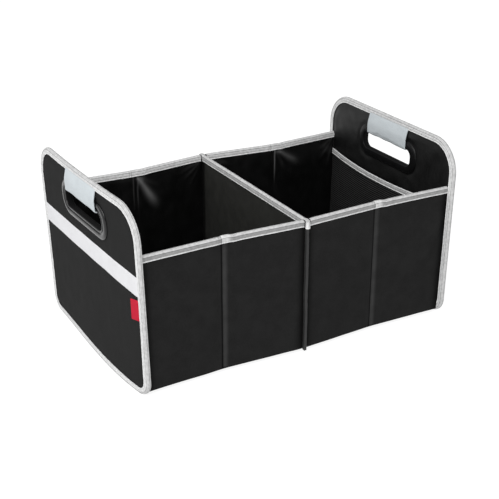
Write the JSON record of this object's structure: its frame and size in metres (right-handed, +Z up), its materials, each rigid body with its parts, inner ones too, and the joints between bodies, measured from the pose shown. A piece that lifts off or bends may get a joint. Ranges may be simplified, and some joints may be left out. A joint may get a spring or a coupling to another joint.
{
  "type": "car trunk organizer",
  "caption": "Open-topped folding fabric box with stiff end panels, moulded carry handles, a cross divider, bound edges and a mesh pocket inside.",
  "frame": {"origin": "on the ground, under the middle of the whole box", "axes": "+X along the box towards the end with the mesh pocket, +Y from the front wall to the back wall, +Z up"},
  "size_m": [0.53, 0.325, 0.274],
  "materials": {
    "outer_cloth": "charcoal black woven polyester",
    "lining": "near black coated lining with a soft shine",
    "divider_cloth": "matte charcoal woven polyester",
    "board": "plain stiff sheet",
    "binding_tape": "light grey ribbed woven tape",
    "seam_tape": "black ribbed woven tape",
    "handle_moulding": "black moulded plastic with a shine",
    "grip_cloth": "pale blue grey padded cloth",
    "band_cloth": "white woven band",
    "tag_cloth": "plain red woven tag",
    "pocket_mesh": "black fine mesh"
  },
  "bodies": {
    "root": {"left_end_cloth": "outer_cloth", "left_end_board": "board", "left_end_lining": "lining", "left_end_binding": "binding_tape", "left_handle_ring_outer": "handle_moulding", "left_handle_ring_inner": "handle_moulding", "left_grip_wrap": "grip_cloth", "right_end_cloth": "outer_cloth", "right_end_board": "board", "right_end_lining": "lining", "right_end_binding": "binding_tape", "right_handle_ring_outer": "handle_moulding", "right_handle_ring_inner": "handle_moulding", "right_grip_wrap": "grip_cloth", "closing_band": "band_cloth", "side_tag": "tag_cloth", "mesh_pocket": "pocket_mesh", "mesh_pocket_binding": "binding_tape", "front_left_cloth": "outer_cloth", "front_left_lining": "lining", "front_left_inner_board": "board", "front_left_outer_board": "board", "front_left_binding": "binding_tape", "front_right_cloth": "outer_cloth", "front_right_lining": "lining", "front_right_inner_board": "board", "front_right_outer_board": "board", "front_right_binding": "binding_tape", "front_seam_tape": "seam_tape", "back_left_cloth": "outer_cloth", "back_left_lining": "lining", "back_left_inner_board": "board", "back_left_outer_board": "board", "back_left_binding": "binding_tape", "back_right_cloth": "outer_cloth", "back_right_lining": "lining", "back_right_inner_board": "board", "back_right_outer_board": "board", "back_right_binding": "binding_tape", "back_seam_tape": "seam_tape", "divider_left_cloth": "divider_cloth", "divider_right_cloth": "divider_cloth", "divider_board": "board", "divider_binding": "binding_tape", "floor_cloth": "lining", "left_base_board": "lining", "right_base_board": "lining"}
  },
  "joints": []
}
